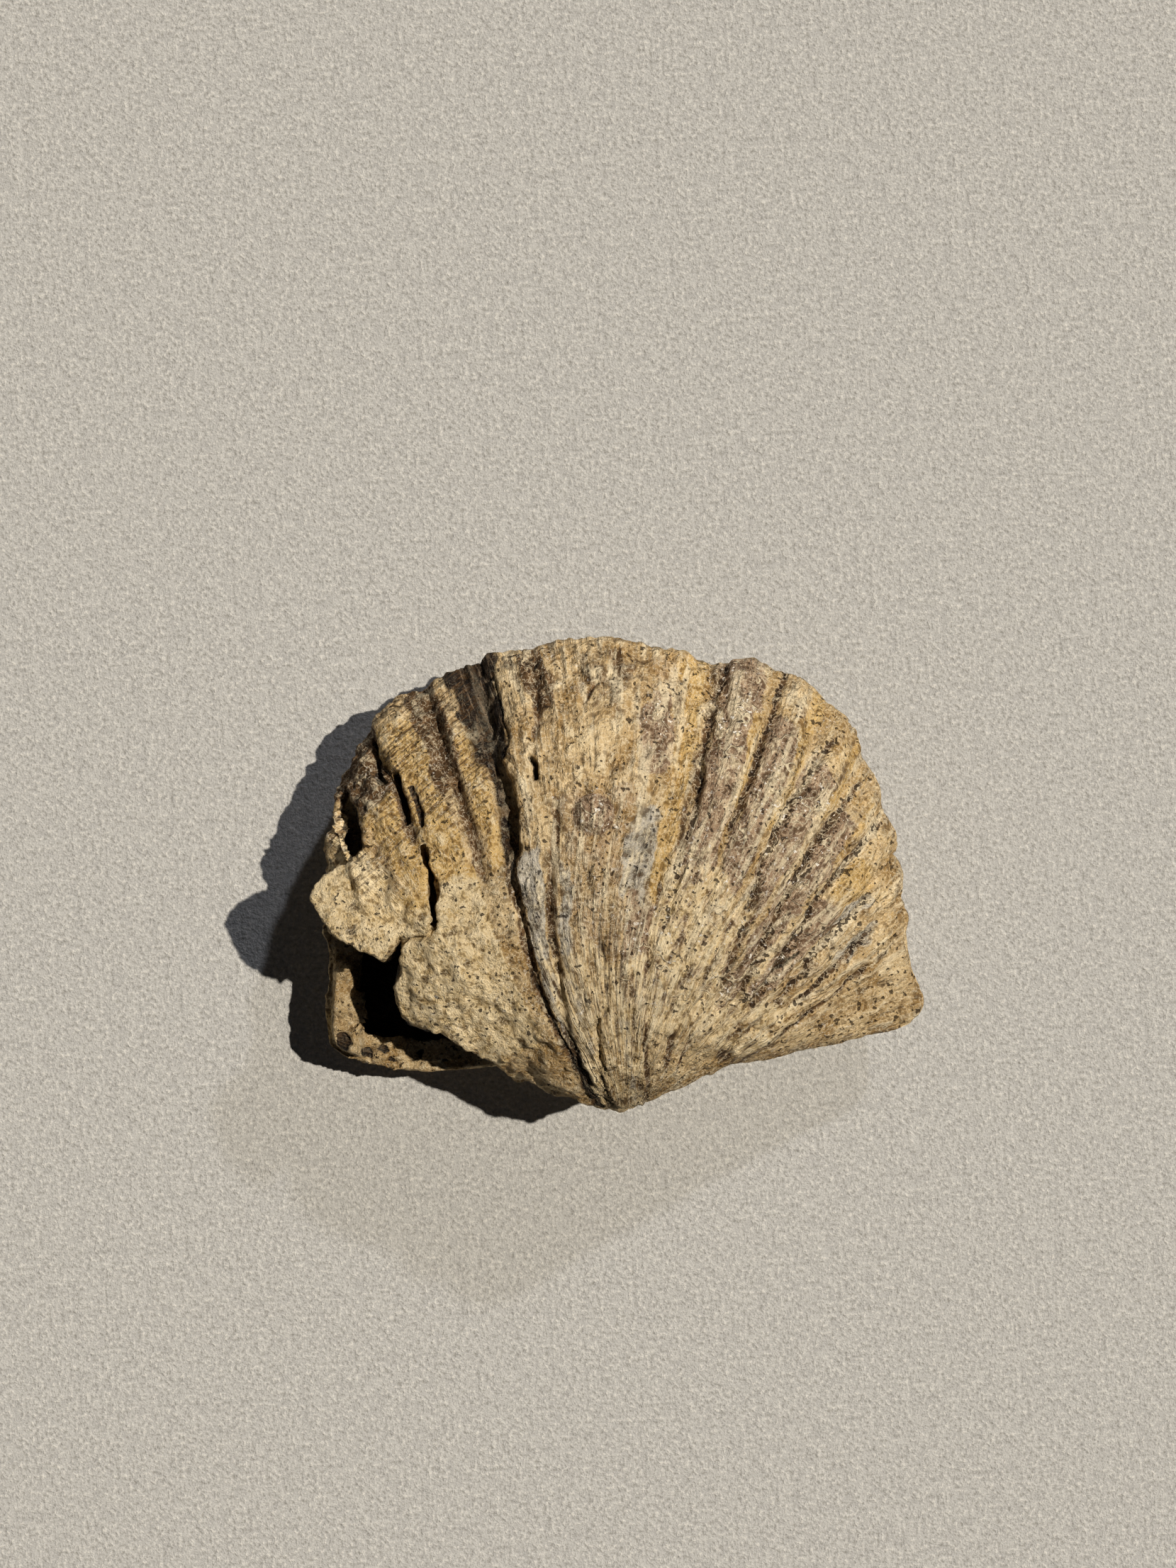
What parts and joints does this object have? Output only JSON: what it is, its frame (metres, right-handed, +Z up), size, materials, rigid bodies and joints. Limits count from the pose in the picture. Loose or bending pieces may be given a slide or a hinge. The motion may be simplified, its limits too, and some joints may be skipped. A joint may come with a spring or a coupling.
{
  "type": "brachiopod fossil",
  "caption": "Ribbed two-valved fossil shell filled with stone, with a raised central fold, long straight hinge, pointed beak and a broken rear corner.",
  "frame": {"origin": "middle of the bounding box in plan, on the surface that the lower valve lies on", "axes": "+X along the hinge to the unbroken ear, +Y from the hinge and beak to the front margin, +Z up through the upper valve"},
  "size_m": [0.0562, 0.0434, 0.0234],
  "materials": {
    "fossil_stone": "rough dull limestone, with clay in the grooves, grey-brown shell on the ribs and pale broken edges"
  },
  "bodies": {
    "root": {"brachiopod_fossil": "fossil_stone"}
  },
  "joints": []
}
